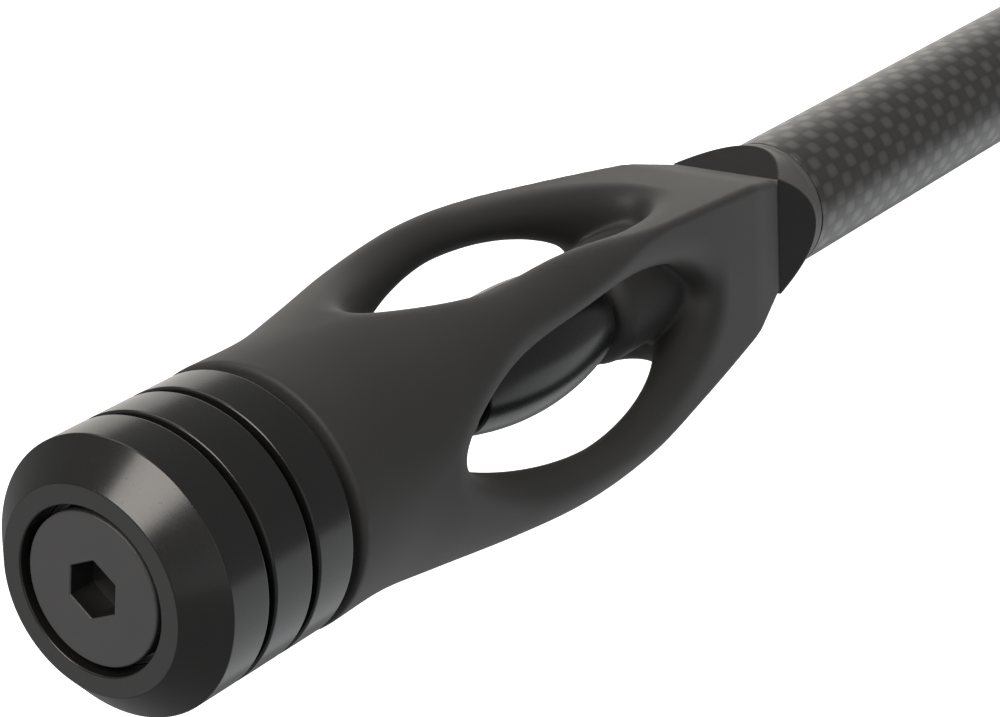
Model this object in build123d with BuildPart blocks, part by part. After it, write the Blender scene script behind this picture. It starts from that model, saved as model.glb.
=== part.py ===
"""Bow stabilizer: a carbon rod that screws into a bow's riser and carries end weights on a rubber damper.

Millimetres. +X runs along the rod from the bow to the weights, +Z is up, and the origin is the centre of
the face that seats against the riser. Stations are measured back from the nose face, so x = LENGTH - station.
"""
from build123d import *
import math
import os

os.makedirs("parts", exist_ok=True)

# --- driving dimensions ---------------------------------------------------------------------------------
LENGTH = 254.0            # riser face to nose face, a 10 inch stabilizer
BOND = 0.05               # clearance filled by adhesive or moulded rubber

WEIGHT_R = 15.875         # 1.25 inch end weights
EDGE = 0.35               # small chamfer on a machined rim
NOSE_CHAMFER = 4.0
NOSE_END = 9.8            # station where the nose weight ends
DISC_1 = (10.8, 17.0)
DISC_2 = (18.1, 24.0)
SPACER_R = 13.6

BOLT_R = 3.95             # 5/16-24 thread, modelled as its major diameter
BOLT_HOLE_R = 4.15
BOLT_END = 41.0
HEAD_R = 8.7
HEAD_TOP = 0.45           # the head sits this far below the nose face
HEAD_THICK = 2.6
HEX_FLATS = 6.0
HEX_DEPTH = 3.6
COUNTERBORE_R = 9.55
WASHER_THICK = 0.5
THREAD_FIT = 0.03

CAGE_START = 25.8         # front face of the rubber
CAGE_KINK = 118.0         # rear end of the lantern, where the end chamfer starts
CAGE_END = 127.0
# station, half the width across the faces, corner radius
CAGE_SECTIONS = [
    (38.0, 16.0, 15.6),
    (46.0, 16.0, 13.0),
    (58.0, 15.1, 5.2),
    (72.0, 16.1, 5.8),
    (86.0, 14.4, 1.4),
    (100.0, 12.75, 1.0),
    (CAGE_KINK, 10.4, 1.0),
]
CAGE_REAR = (CAGE_END, 8.0, 1.2)
WINDOW_STATION = 75.6
WINDOW_LONG = 28.8        # semi-axes of the oval windows
WINDOW_WIDE = 9.6
WINDOW_POWER_FRONT = 1.7  # 2 is an ellipse; less is a little more pointed
WINDOW_POWER_REAR = 2.0
BOSS_FRONT_R = 6.85
BOSS_REAR_R = 7.5
BOSS_ROUND = 2.0
BOSS_FRONT = (40.0, 61.5)
BOSS_REAR = (91.5, 106.0)

BARREL = (63.0, 90.0)
BARREL_END_R = 6.25
BARREL_MID_R = 8.15
PIN_R = 2.5
PIN = (54.0, 99.0)
RING_R = 5.2

INSERT_FLANGE_R = 14.2
INSERT_HUB_R = 8.0
INSERT_RIM_R = 11.0
INSERT_RIM = (31.0, 34.0)
INSERT_END = 43.0

REAR_INSERT = (108.0, 127.0)
REAR_INSERT_R = 5.8
REAR_RIM = (110.5, 113.5)
REAR_RIM_R = 7.0
STUD_R = 3.0
COUPLING_STUD = (112.0, 146.0)

TUBE_R = 9.0
TUBE_WALL = 1.0
TUBE_START = 137.1
FLARE_R = 11.4            # corner reach of the ferrule where it meets the rubber
FLARE_MIDDLE = [(133.0, 9.85), (130.0, 10.65)]
FLARE_END = 135.6
FLAT_END = 132.7
RING_THICK = 0.3
SLEEVE_LONG = 20.0

BOW_FERRULE = 14.0        # length of the ferrule in front of the washer
BOW_FERRULE_R = 9.6
GRIP_SLOTS = 10
RISER_WASHER = 1.5
RISER_WASHER_R = 8.8
RISER_STUD = (-14.0, 17.0)
RELIEF = 0.6              # plain neck of the stud next to the seating face
RELIEF_R = 3.3
LOCK_SCREW_R = 2.0
LOCK_SCREW_X = 8.0


def station(t):
    """Distance x of a station t, which is counted back from the nose face."""
    return LENGTH - t


def save(part, name):
    """Label a finished piece and write its STEP file."""
    part.label = name
    export_step(part, f"parts/{name}.step")
    print(name, round(part.volume, 1), "mm3")


def turned(points):
    """Add a solid turned about the X axis from (x, radius) points."""
    with BuildSketch(Plane.XY) as profile:
        with BuildLine():
            Polyline(*points, close=True)
        make_face()
    revolve(profile.sketch, axis=Axis.X)


def turned_ring(front, rear, outer, inner, edge=0.0):
    """Add a ring between two stations, with its outer rims chamfered by edge."""
    x0 = station(rear)
    x1 = station(front)
    points = [(x0, inner), (x0, outer - edge)]
    if edge > 0:
        points += [(x0 + edge, outer), (x1 - edge, outer)]
    points += [(x1, outer - edge), (x1, inner)]
    turned(points)


# --- end weights ----------------------------------------------------------------------------------------
COUNTERBORE = HEAD_TOP + HEAD_THICK + WASHER_THICK

with BuildPart() as nose_weight:
    turned([
        (station(NOSE_END), BOLT_HOLE_R),
        (station(NOSE_END), WEIGHT_R - EDGE),
        (station(NOSE_END - EDGE), WEIGHT_R),
        (station(NOSE_CHAMFER), WEIGHT_R),
        (station(0), WEIGHT_R - NOSE_CHAMFER),
        (station(0), COUNTERBORE_R + EDGE / 2),
        (station(EDGE / 2), COUNTERBORE_R),
        (station(COUNTERBORE), COUNTERBORE_R),
        (station(COUNTERBORE), BOLT_HOLE_R),
    ])
save(nose_weight.part, "nose_weight")

for name, (front, rear) in {"weight_disc_front": DISC_1, "weight_disc_rear": DISC_2}.items():
    with BuildPart() as weight_disc:
        turned_ring(front, rear, WEIGHT_R, BOLT_HOLE_R, EDGE)
    save(weight_disc.part, name)

spacers = {"spacer_washer_front": (NOSE_END, DISC_1[0]), "spacer_washer_rear": (DISC_1[1], DISC_2[0])}
for name, (front, rear) in spacers.items():
    with BuildPart() as spacer:
        turned_ring(front, rear, SPACER_R, BOLT_HOLE_R)
    save(spacer.part, name)

with BuildPart() as weight_bolt:
    head_rear = station(HEAD_TOP + HEAD_THICK)
    turned([
        (station(BOLT_END), 0),
        (station(BOLT_END), BOLT_R - 0.7),
        (station(BOLT_END - 0.7), BOLT_R),
        (head_rear, BOLT_R),
        (head_rear, HEAD_R),
        (station(HEAD_TOP + 0.25), HEAD_R),
        (station(HEAD_TOP), HEAD_R - 0.25),
        (station(HEAD_TOP), 0),
    ])
    with BuildSketch(Plane.YZ.offset(station(HEAD_TOP))):
        RegularPolygon(HEX_FLATS / 2, 6, major_radius=False, rotation=12)
    extrude(amount=-HEX_DEPTH, mode=Mode.SUBTRACT)
save(weight_bolt.part, "weight_bolt")

with BuildPart() as bolt_washer:
    turned_ring(HEAD_TOP + HEAD_THICK, COUNTERBORE, HEAD_R - 0.4, BOLT_R + BOND)
save(bolt_washer.part, "bolt_washer")

# --- threaded insert that the rubber is moulded onto ----------------------------------------------------
with BuildPart() as front_insert:
    turned([
        (station(INSERT_END), 0),
        (station(INSERT_END), INSERT_HUB_R),
        (station(INSERT_RIM[1]), INSERT_HUB_R),
        (station(INSERT_RIM[1]), INSERT_RIM_R),
        (station(INSERT_RIM[0]), INSERT_RIM_R),
        (station(INSERT_RIM[0]), INSERT_HUB_R),
        (station(CAGE_START), INSERT_HUB_R),
        (station(CAGE_START), INSERT_FLANGE_R),
        (station(DISC_2[1]), INSERT_FLANGE_R),
        (station(DISC_2[1]), 0),
    ])
    with Locations(Plane.YZ.offset(station(DISC_2[1]))):
        Hole(BOLT_R + THREAD_FIT, depth=BOLT_END - DISC_2[1] + 1.0)
save(front_insert.part, "front_insert")

# --- rubber lantern -------------------------------------------------------------------------------------
def cage_section(place, half, corner):
    """Return one rounded square across the lantern at a station."""
    with BuildSketch(Plane.YZ.offset(station(place))) as section:
        RectangleRounded(2 * half, 2 * half, corner)
    return section.sketch


def window_outline(count=48):
    """Points (x, across) on the window's oval, where |a| ** power + |b| ** power is 1 on scaled axes."""
    points = []
    for n in range(count):
        turn = 2 * math.pi * n / count
        power = WINDOW_POWER_FRONT if math.cos(turn) > 0 else WINDOW_POWER_REAR
        a = math.copysign(abs(math.cos(turn)) ** (2 / power), math.cos(turn))
        b = math.copysign(abs(math.sin(turn)) ** (2 / power), math.sin(turn))
        points.append((station(WINDOW_STATION) + WINDOW_LONG * a, WINDOW_WIDE * b))
    return points


def boss(front, rear, radius, front_is_domed):
    """Add a rubber boss with one domed end that faces the barrel."""
    with BuildSketch(Plane.YZ.offset(station(rear))) as base:
        Circle(radius)
    grown = extrude(base.sketch, amount=rear - front)
    end = grown.faces().sort_by(Axis.X)[-1 if front_is_domed else 0]
    fillet(end.edges(), BOSS_ROUND)


with BuildPart() as front_boss:
    boss(*BOSS_FRONT, BOSS_FRONT_R, front_is_domed=False)

with BuildPart() as rear_boss:
    boss(*BOSS_REAR, BOSS_REAR_R, front_is_domed=True)

with BuildPart() as damper_cage:
    extrude(cage_section(*CAGE_SECTIONS[0]), amount=CAGE_SECTIONS[0][0] - CAGE_START)
    loft([cage_section(*section) for section in CAGE_SECTIONS])
    loft([cage_section(*CAGE_SECTIONS[-1]), cage_section(*CAGE_REAR)])
    for face in (Plane.XY, Plane.XZ):
        with BuildSketch(face):
            with BuildLine():
                Spline(window_outline(), periodic=True)
            make_face()
        extrude(amount=WEIGHT_R * 2, both=True, mode=Mode.SUBTRACT)
    add(front_boss.part)
    add(rear_boss.part)
    with BuildSketch(Plane.YZ.offset(station(PIN[1] + BOND))):
        Circle(PIN_R + BOND)
    extrude(amount=PIN[1] - PIN[0] + 2 * BOND, mode=Mode.SUBTRACT)
    for front, rear, radius in (
        (CAGE_START, INSERT_END + BOND, INSERT_HUB_R + BOND),
        (INSERT_RIM[0] - BOND, INSERT_RIM[1] + BOND, INSERT_RIM_R + BOND),
        (REAR_INSERT[0] - BOND, REAR_INSERT[1], REAR_INSERT_R + BOND),
        (REAR_RIM[0] - BOND, REAR_RIM[1] + BOND, REAR_RIM_R + BOND),
    ):
        with BuildSketch(Plane.YZ.offset(station(rear))):
            Circle(radius)
        extrude(amount=rear - front, mode=Mode.SUBTRACT)
save(damper_cage.part, "damper_cage")

# --- barrel mass inside the lantern ---------------------------------------------------------------------
with BuildPart() as barrel_mass:
    with BuildSketch(Plane.XY):
        with BuildLine():
            middle = (station(sum(BARREL) / 2), BARREL_MID_R)
            swell = ThreePointArc((station(BARREL[1]), BARREL_END_R), middle, (station(BARREL[0]), BARREL_END_R))
            Polyline(swell @ 1, (station(BARREL[0]), PIN_R), (station(BARREL[1]), PIN_R), swell @ 0)
        make_face()
    revolve(axis=Axis.X)
save(barrel_mass.part, "barrel_mass")

with BuildPart() as barrel_pin:
    turned([(station(PIN[1]), 0), (station(PIN[1]), PIN_R), (station(PIN[0]), PIN_R), (station(PIN[0]), 0)])
save(barrel_pin.part, "barrel_pin")

rings = {"cushion_ring_front": (BOSS_FRONT[1], BARREL[0]), "cushion_ring_rear": (BARREL[1], BOSS_REAR[0])}
for name, (front, rear) in rings.items():
    with BuildPart() as cushion_ring:
        turned_ring(front, rear, RING_R, PIN_R)
    save(cushion_ring.part, name)

# --- ferrule between the lantern and the tube -----------------------------------------------------------
with BuildPart() as rear_insert:
    turned([
        (station(REAR_INSERT[1]), STUD_R),
        (station(REAR_INSERT[1]), REAR_INSERT_R),
        (station(REAR_RIM[1]), REAR_INSERT_R),
        (station(REAR_RIM[1]), REAR_RIM_R),
        (station(REAR_RIM[0]), REAR_RIM_R),
        (station(REAR_RIM[0]), REAR_INSERT_R),
        (station(REAR_INSERT[0]), REAR_INSERT_R),
        (station(REAR_INSERT[0]), 0),
        (station(COUPLING_STUD[0]), 0),
        (station(COUPLING_STUD[0]), STUD_R),
    ])
save(rear_insert.part, "rear_insert")

with BuildPart() as coupling_stud:
    turned([
        (station(COUPLING_STUD[1]), 0),
        (station(COUPLING_STUD[1]), STUD_R),
        (station(COUPLING_STUD[0]), STUD_R),
        (station(COUPLING_STUD[0]), 0),
    ])
save(coupling_stud.part, "coupling_stud")

SLEEVE_R = TUBE_R - TUBE_WALL - BOND
FERRULE_END = TUBE_START - RING_THICK

with BuildPart() as ferrule_flats:
    for place, half in ((FLAT_END, TUBE_R + 0.1), (CAGE_END, CAGE_REAR[1])):
        with BuildSketch(Plane.YZ.offset(station(place))):
            Rectangle(2 * half, 2 * half)
    loft()
    with BuildSketch(Plane.YZ.offset(station(TUBE_START + SLEEVE_LONG))):
        Rectangle(2 * TUBE_R + 0.2, 2 * TUBE_R + 0.2)
    extrude(amount=TUBE_START + SLEEVE_LONG - FLAT_END)

with BuildPart() as damper_ferrule:
    turned([
        (station(TUBE_START + SLEEVE_LONG), STUD_R),
        (station(TUBE_START + SLEEVE_LONG), SLEEVE_R),
        (station(FERRULE_END), SLEEVE_R),
        (station(FERRULE_END), TUBE_R),
        (station(FLARE_END), TUBE_R),
        *[(station(place), radius) for place, radius in FLARE_MIDDLE],
        (station(CAGE_END), FLARE_R),
        (station(CAGE_END), STUD_R),
    ])
    add(ferrule_flats.part, mode=Mode.INTERSECT)
save(damper_ferrule.part, "damper_ferrule")

with BuildPart() as tube_end_ring:
    turned_ring(FERRULE_END, TUBE_START, TUBE_R - 0.15, SLEEVE_R + BOND)
save(tube_end_ring.part, "tube_end_ring")

# --- carbon tube ----------------------------------------------------------------------------------------
TUBE_FOOT = RISER_WASHER + BOW_FERRULE + RING_THICK

with BuildPart() as carbon_tube:
    turned_ring(TUBE_START, LENGTH - TUBE_FOOT, TUBE_R, TUBE_R - TUBE_WALL, 0.1)
save(carbon_tube.part, "carbon_tube")

# --- bow end --------------------------------------------------------------------------------------------
with BuildPart() as bow_end_ring:
    turned_ring(LENGTH - TUBE_FOOT, LENGTH - TUBE_FOOT + RING_THICK, TUBE_R - 0.15, SLEEVE_R + BOND)
save(bow_end_ring.part, "bow_end_ring")

with BuildPart() as bow_ferrule:
    turned([
        (RISER_WASHER, 0),
        (RISER_WASHER, BOW_FERRULE_R - EDGE),
        (RISER_WASHER + EDGE, BOW_FERRULE_R),
        (RISER_WASHER + BOW_FERRULE - 2.0, BOW_FERRULE_R),
        (RISER_WASHER + BOW_FERRULE - 1.4, TUBE_R),
        (RISER_WASHER + BOW_FERRULE, TUBE_R),
        (RISER_WASHER + BOW_FERRULE, SLEEVE_R),
        (TUBE_FOOT + SLEEVE_LONG, SLEEVE_R),
        (TUBE_FOOT + SLEEVE_LONG, 0),
    ])
    with BuildSketch(Plane.YZ.offset(RISER_WASHER)):
        Circle(BOLT_R)
    extrude(amount=RISER_STUD[1] - RISER_WASHER, mode=Mode.SUBTRACT)
    with BuildSketch(Plane.YZ.offset(RISER_WASHER + 3.0)):
        with PolarLocations(BOW_FERRULE_R + 0.35, GRIP_SLOTS, start_angle=180 / GRIP_SLOTS):
            Circle(0.9)
    extrude(amount=7.0, mode=Mode.SUBTRACT)
    with BuildSketch(Plane.XZ.offset(-BOW_FERRULE_R - 1.0)):
        with Locations((LOCK_SCREW_X, 0)):
            Circle(LOCK_SCREW_R + THREAD_FIT)
    extrude(amount=BOW_FERRULE_R + 1.0 - BOLT_R / 2, mode=Mode.SUBTRACT)
save(bow_ferrule.part, "bow_ferrule")

with BuildPart() as stud_lock_screw:
    with BuildSketch(Plane.XZ.offset(-BOW_FERRULE_R + 0.6)):
        with Locations((LOCK_SCREW_X, 0)):
            Circle(LOCK_SCREW_R)
    extrude(amount=BOW_FERRULE_R - 0.6 - BOLT_R - 0.1)
    with BuildSketch(Plane.XZ.offset(-BOW_FERRULE_R + 0.6)):
        with Locations((LOCK_SCREW_X, 0)):
            RegularPolygon(1.0, 6, major_radius=False)
    extrude(amount=1.6, mode=Mode.SUBTRACT)
save(stud_lock_screw.part, "stud_lock_screw")

with BuildPart() as riser_washer:
    turned([(0, BOLT_R + 0.2), (0, RISER_WASHER_R), (RISER_WASHER, RISER_WASHER_R), (RISER_WASHER, BOLT_R + 0.2)])
save(riser_washer.part, "riser_washer")

with BuildPart() as riser_stud:
    turned([
        (RISER_STUD[0], 0),
        (RISER_STUD[0], BOLT_R - 0.7),
        (RISER_STUD[0] + 0.7, BOLT_R),
        (-RELIEF, BOLT_R),
        (-RELIEF, RELIEF_R),
        (RISER_WASHER, RELIEF_R),
        (RISER_WASHER, BOLT_R),
        (RISER_STUD[1], BOLT_R),
        (RISER_STUD[1], 0),
    ])
save(riser_stud.part, "riser_stud")
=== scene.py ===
# %% [markdown]
# # A bow stabilizer
#
# This lesson dresses a bow stabilizer: a carbon rod that screws into a bow, a rubber damper shaped like an
# open lantern, and a stack of black end weights. The mechanical model is already packed, in metres, with
# +X along the rod towards the weights and +Z up. We load it first and never move any of its nodes.

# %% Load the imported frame
import math
import bpy
import numpy as np
from mathutils import Matrix, Vector


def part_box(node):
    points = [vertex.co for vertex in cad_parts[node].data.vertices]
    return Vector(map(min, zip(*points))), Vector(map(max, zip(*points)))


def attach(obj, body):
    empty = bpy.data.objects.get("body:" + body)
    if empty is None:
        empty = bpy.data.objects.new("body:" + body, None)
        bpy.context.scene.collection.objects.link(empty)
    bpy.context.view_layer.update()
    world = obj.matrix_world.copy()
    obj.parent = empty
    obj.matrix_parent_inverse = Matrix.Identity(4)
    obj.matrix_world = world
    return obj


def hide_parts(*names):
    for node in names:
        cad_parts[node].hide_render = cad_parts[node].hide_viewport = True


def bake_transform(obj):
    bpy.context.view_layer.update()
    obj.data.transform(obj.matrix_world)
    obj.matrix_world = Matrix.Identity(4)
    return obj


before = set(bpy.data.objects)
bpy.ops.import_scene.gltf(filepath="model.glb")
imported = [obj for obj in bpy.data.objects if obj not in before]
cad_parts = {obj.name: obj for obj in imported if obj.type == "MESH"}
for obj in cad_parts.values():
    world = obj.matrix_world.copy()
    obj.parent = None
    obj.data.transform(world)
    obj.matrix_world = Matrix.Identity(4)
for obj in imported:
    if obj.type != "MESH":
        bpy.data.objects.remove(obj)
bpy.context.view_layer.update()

# %% [markdown]
# ## Camera
#
# Standing close keeps the nose large and lets the rod run away into the distance. The camera's place is
# given in the row frame: where it stands, which way it looks, and which way is up for it. Three vectors are
# easier to keep true than three angles.

# %% Camera
MM = 0.001
EYE = Vector((461.9, 204.5, 134.5)) * MM
LOOK = Vector((-0.7549, -0.54785, -0.36054)).normalized()
UP = Vector((-0.32476, -0.16535, 0.93123)).normalized()
LENS = 111.5


def aim(thing, eye, look, up):
    """Place a camera at eye with its -Z axis along look and its +Y axis along up."""
    side = look.cross(up).normalized()
    over = side.cross(look).normalized()
    turn = Matrix((side, over, -look)).transposed().to_4x4()
    thing.matrix_world = Matrix.Translation(eye) @ turn


camera_data = bpy.data.cameras.new("camera")
camera_data.lens = LENS
camera_data.sensor_width = 36.0
camera_data.clip_start = 0.01
camera = bpy.data.objects.new("camera", camera_data)
bpy.context.scene.collection.objects.link(camera)
aim(camera, EYE, LOOK, UP)
bpy.context.scene.camera = camera
print("camera stands", round((EYE - Vector((0.18, 0, 0))).length, 3), "m from the damper")

# %% [markdown]
# ## Stage and light
#
# A black object on a white stage is hard to light: if the white is mirrored in it, it turns grey. So the
# tent and the floor are white to the camera but are left out of reflections, the world gives an even dim
# light, and large soft boxes draw the highlights. Warm light comes from above and cool light from below.

# %% Stage and light
def link(obj):
    """Put a new object in the scene and return it."""
    bpy.context.scene.collection.objects.link(obj)
    return obj


def softbox(name, around, up, size, radiance, color=(1, 1, 1), away=0.75):
    """Add a square area light in the direction (around, up), in degrees, that faces the damper's middle.
    Its power is radiance times pi times its area, so radiance 1 is as bright as white paper."""
    data = bpy.data.lights.new(name, "AREA")
    data.size = size
    data.energy = radiance * math.pi * size * size
    data.color = color
    lamp = link(bpy.data.objects.new(name, data))
    flat = math.cos(math.radians(up))
    direction = Vector((flat * math.cos(math.radians(around)), flat * math.sin(math.radians(around)),
                        math.sin(math.radians(up))))
    turn = direction.to_track_quat("Z", "Y").to_matrix().to_4x4()
    lamp.matrix_world = Matrix.Translation(MIDDLE + direction * away) @ turn
    return lamp


MIDDLE = Vector((0.17, 0, 0))
WARM, COOL = (1.0, 0.95, 0.89), (0.96, 0.98, 1.0)
softbox("key_softbox", 5, 42, 0.42, 5.6, WARM)
softbox("top_softbox", -90, 65, 0.5, 1.3, WARM)
softbox("back_softbox", -145, 3, 0.65, 0.85, WARM)
softbox("near_fill", 60, 8, 0.5, 0.4)
softbox("front_low", -40, -22, 0.6, 0.38)
softbox("floor_bounce", 150, -46, 0.9, 0.6, COOL)

world = bpy.data.worlds.new("dim_surroundings")
world.use_nodes = True
world.node_tree.nodes["Background"].inputs["Color"].default_value = (1, 1, 1, 1)
world.node_tree.nodes["Background"].inputs["Strength"].default_value = 0.23
bpy.context.scene.world = world
bpy.context.scene.view_settings.view_transform = "Standard"


def white_stage(name, points, faces):
    """A white surface that only the camera sees, outside the object."""
    mesh = bpy.data.meshes.new(name)
    mesh.from_pydata(points, [], faces)
    sheet = link(bpy.data.objects.new(name, mesh))
    sheet.visible_diffuse = False
    sheet.visible_glossy = False
    sheet.visible_shadow = False
    mesh.materials.append(white_paint)
    return sheet


white_paint = bpy.data.materials.new("white_stage")
white_paint.use_nodes = True
white_shader = white_paint.node_tree.nodes["Principled BSDF"]
white_shader.inputs["Base Color"].default_value = (0.9, 0.9, 0.9, 1)
white_shader.inputs["Roughness"].default_value = 0.9
white_shader.inputs["Emission Color"].default_value = (1, 1, 1, 1)
white_shader.inputs["Emission Strength"].default_value = 1.0
FLOOR, FAR = -0.16, 6.0
floor_corners = [(-FAR, -FAR, FLOOR), (FAR, -FAR, FLOOR), (FAR, FAR, FLOOR), (-FAR, FAR, FLOOR)]
tent_corners = floor_corners + [(x, y, 2 * FAR) for x, y, z in floor_corners]
white_stage("floor", floor_corners, [(0, 1, 2, 3)])
white_stage("tent", tent_corners, [(0, 4, 5, 1), (1, 5, 6, 2), (2, 6, 7, 3), (3, 7, 4, 0), (4, 7, 6, 5)])
print("floor", round(-FLOOR * 1000), "mm below the rod's axis")

# %% [markdown]
# ## Materials
#
# Every finish here is nearly black, so colour says little and the surface says all: how rough it is, how
# the turning marks stretch a highlight, how the rubber scatters it. Each material is a small node network
# that reads Object coordinates in metres, so a pattern keeps its real size.

# %% Node helpers
def new_material(name):
    """Return a material's node tree, its Principled shader and its Object coordinates."""
    material = bpy.data.materials.new(name)
    material.use_nodes = True
    tree = material.node_tree
    coords = tree.nodes.new("ShaderNodeTexCoord")
    return material, tree, tree.nodes["Principled BSDF"], coords.outputs["Object"]


def mapped(tree, vector, scale):
    """Stretch a coordinate by scale along each axis."""
    node = tree.nodes.new("ShaderNodeMapping")
    node.inputs["Scale"].default_value = scale
    tree.links.new(vector, node.inputs["Vector"])
    return node.outputs["Vector"]


def noise(tree, vector, scale, detail=4.0, roughness=0.55):
    """Return a noise pattern's value."""
    node = tree.nodes.new("ShaderNodeTexNoise")
    node.inputs["Scale"].default_value = scale
    node.inputs["Detail"].default_value = detail
    node.inputs["Roughness"].default_value = roughness
    tree.links.new(vector, node.inputs["Vector"])
    return node.outputs["Fac"]


def ramp(tree, value, low, high, to_low, to_high):
    """Map value from low..high to to_low..to_high, clamped."""
    node = tree.nodes.new("ShaderNodeMapRange")
    for socket, number in zip(("From Min", "From Max", "To Min", "To Max"), (low, high, to_low, to_high)):
        node.inputs[socket].default_value = number
    tree.links.new(value, node.inputs["Value"])
    return node.outputs["Result"]


def calc(tree, operation, a, b=0.0):
    """Return one Math node's result; a and b are sockets or numbers."""
    node = tree.nodes.new("ShaderNodeMath")
    node.operation = operation
    for socket, value in zip(node.inputs, (a, b)):
        if isinstance(value, (int, float)):
            socket.default_value = value
        else:
            tree.links.new(value, socket)
    return node.outputs[0]


def blend_colors(tree, factor, dark, light):
    """Mix two colours, each a tuple or a socket, by a factor socket."""
    node = tree.nodes.new("ShaderNodeMix")
    node.data_type = "RGBA"
    colour_a, colour_b = [socket for socket in node.inputs if socket.type == "RGBA"]
    for socket, value in ((colour_a, dark), (colour_b, light)):
        if isinstance(value, (tuple, list)):
            socket.default_value = (*value, 1)
        else:
            tree.links.new(value, socket)
    tree.links.new(factor, node.inputs[0])
    return [socket for socket in node.outputs if socket.type == "RGBA"][0]


def bump(tree, shader, height, distance, strength=1.0):
    """Drive the shader's normal with a height in metres times distance."""
    node = tree.nodes.new("ShaderNodeBump")
    node.inputs["Distance"].default_value = distance
    node.inputs["Strength"].default_value = strength
    tree.links.new(height, node.inputs["Height"])
    tree.links.new(node.outputs["Normal"], shader.inputs["Normal"])


def radius_of(tree, vector):
    """Distance of a point from the rod's axis."""
    flat = mapped(tree, vector, (0, 1, 1))
    node = tree.nodes.new("ShaderNodeVectorMath")
    node.operation = "LENGTH"
    tree.links.new(flat, node.inputs[0])
    return node.outputs["Value"]


def with_radius(tree, vector):
    """Coordinates (x, distance from the axis, 0): a pattern on them makes rings round the rod."""
    split = tree.nodes.new("ShaderNodeSeparateXYZ")
    join = tree.nodes.new("ShaderNodeCombineXYZ")
    tree.links.new(vector, split.inputs[0])
    tree.links.new(split.outputs["X"], join.inputs["X"])
    tree.links.new(radius_of(tree, vector), join.inputs["Y"])
    return join.outputs[0]


print("node helpers ready")

# %% [markdown]
# ### Turned, black anodised aluminium
#
# A lathe leaves fine rings. Noise sampled on (x, distance from the axis) gives such rings on rims and
# faces alike. The same rings and soft smears drive colour and roughness, and the rings a very small bump.

# %% Turned metal
def turned_black(name, color, roughness, ring_bump=0.000004, ring_share=0.35, metallic=0.0):
    """Black anodised metal with lathe rings, soft handling smears and fine dust specks."""
    material, tree, shader, coords = new_material(name)
    rings = noise(tree, with_radius(tree, coords), 9000, 2.0)
    smears = noise(tree, coords, 60, 5.0, 0.65)
    specks = noise(tree, coords, 2600, 1.0)
    ring_part = calc(tree, "MULTIPLY", rings, ring_share)
    tone = calc(tree, "ADD", ring_part, calc(tree, "MULTIPLY", smears, 1 - ring_share))
    dark, light = [c * 0.8 for c in color], [c * 1.25 for c in color]
    lift = blend_colors(tree, ramp(tree, tone, 0.3, 0.75, 0, 1), dark, light)
    tree.links.new(lift, shader.inputs["Base Color"])
    rough = ramp(tree, tone, 0.25, 0.8, roughness * 0.8, roughness * 1.2)
    rough = calc(tree, "ADD", rough, ramp(tree, specks, 0.72, 0.8, 0, 0.12))
    tree.links.new(rough, shader.inputs["Roughness"])
    shader.inputs["Metallic"].default_value = metallic
    shader.inputs["IOR"].default_value = 1.6
    bump(tree, shader, rings, ring_bump)
    return material


def paint_shade_where(material, attribute, color, roughness, specular):
    """Paint shade on the places where the mesh's own attribute is one: a darker base colour and a duller
    finish.
    The gloss level is one number for the whole material."""
    tree = material.node_tree
    shader = tree.nodes["Principled BSDF"]
    mask = tree.nodes.new("ShaderNodeAttribute")
    mask.attribute_name = attribute
    turned = shader.inputs["Base Color"].links[0].from_socket
    tree.links.new(blend_colors(tree, mask.outputs["Fac"], turned, color), shader.inputs["Base Color"])
    lift = calc(tree, "MULTIPLY", mask.outputs["Fac"], roughness - 0.42)
    turned_rough = shader.inputs["Roughness"].links[0].from_socket
    tree.links.new(calc(tree, "ADD", turned_rough, lift), shader.inputs["Roughness"])
    shader.inputs["Specular IOR Level"].default_value = specular


anodised = turned_black("anodised_black", (0.013, 0.0125, 0.0122), 0.23)
bolt_black = turned_black("bolt_black", (0.066, 0.065, 0.067), 0.46, 0.000006)
# Painted shade: the socket's inside, which the mesh marks, is coloured near black and duller.
paint_shade_where(bolt_black, "socket", (0.002, 0.002, 0.002), 0.6, 0.4)
barrel_black = turned_black("barrel_gloss_black", (0.009, 0.009, 0.009), 0.27, 0.0000001, 0.06)
ferrule_grey = turned_black("ferrule_satin_grey", (0.045, 0.044, 0.043), 0.40, 0.000003)
milled_grey = turned_black("ferrule_milled_grey", (0.17, 0.165, 0.16), 0.42, 0.000003)
# Painted shade: the ferrule's flats, which the mesh marks, are coloured near black and duller.
paint_shade_where(milled_grey, "milled", (0.014, 0.0135, 0.013), 0.58, 0.22)
zinc = turned_black("zinc_steel", (0.42, 0.42, 0.43), 0.32, 0.000003, metallic=1.0)
bare_aluminium = turned_black("machined_aluminium", (0.6, 0.6, 0.61), 0.35, 0.000003, metallic=1.0)
turned_metals = (anodised, bolt_black, barrel_black, ferrule_grey, milled_grey, zinc, bare_aluminium)
print("turned metals:", [material.name for material in turned_metals])

# %% [markdown]
# ### Rubber and nylon
#
# Moulded soft-touch rubber is matt, with a velvety rise at grazing angles. Sheen gives the velvet, and two
# noises of different size keep the surface from looking like paint.

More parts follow.
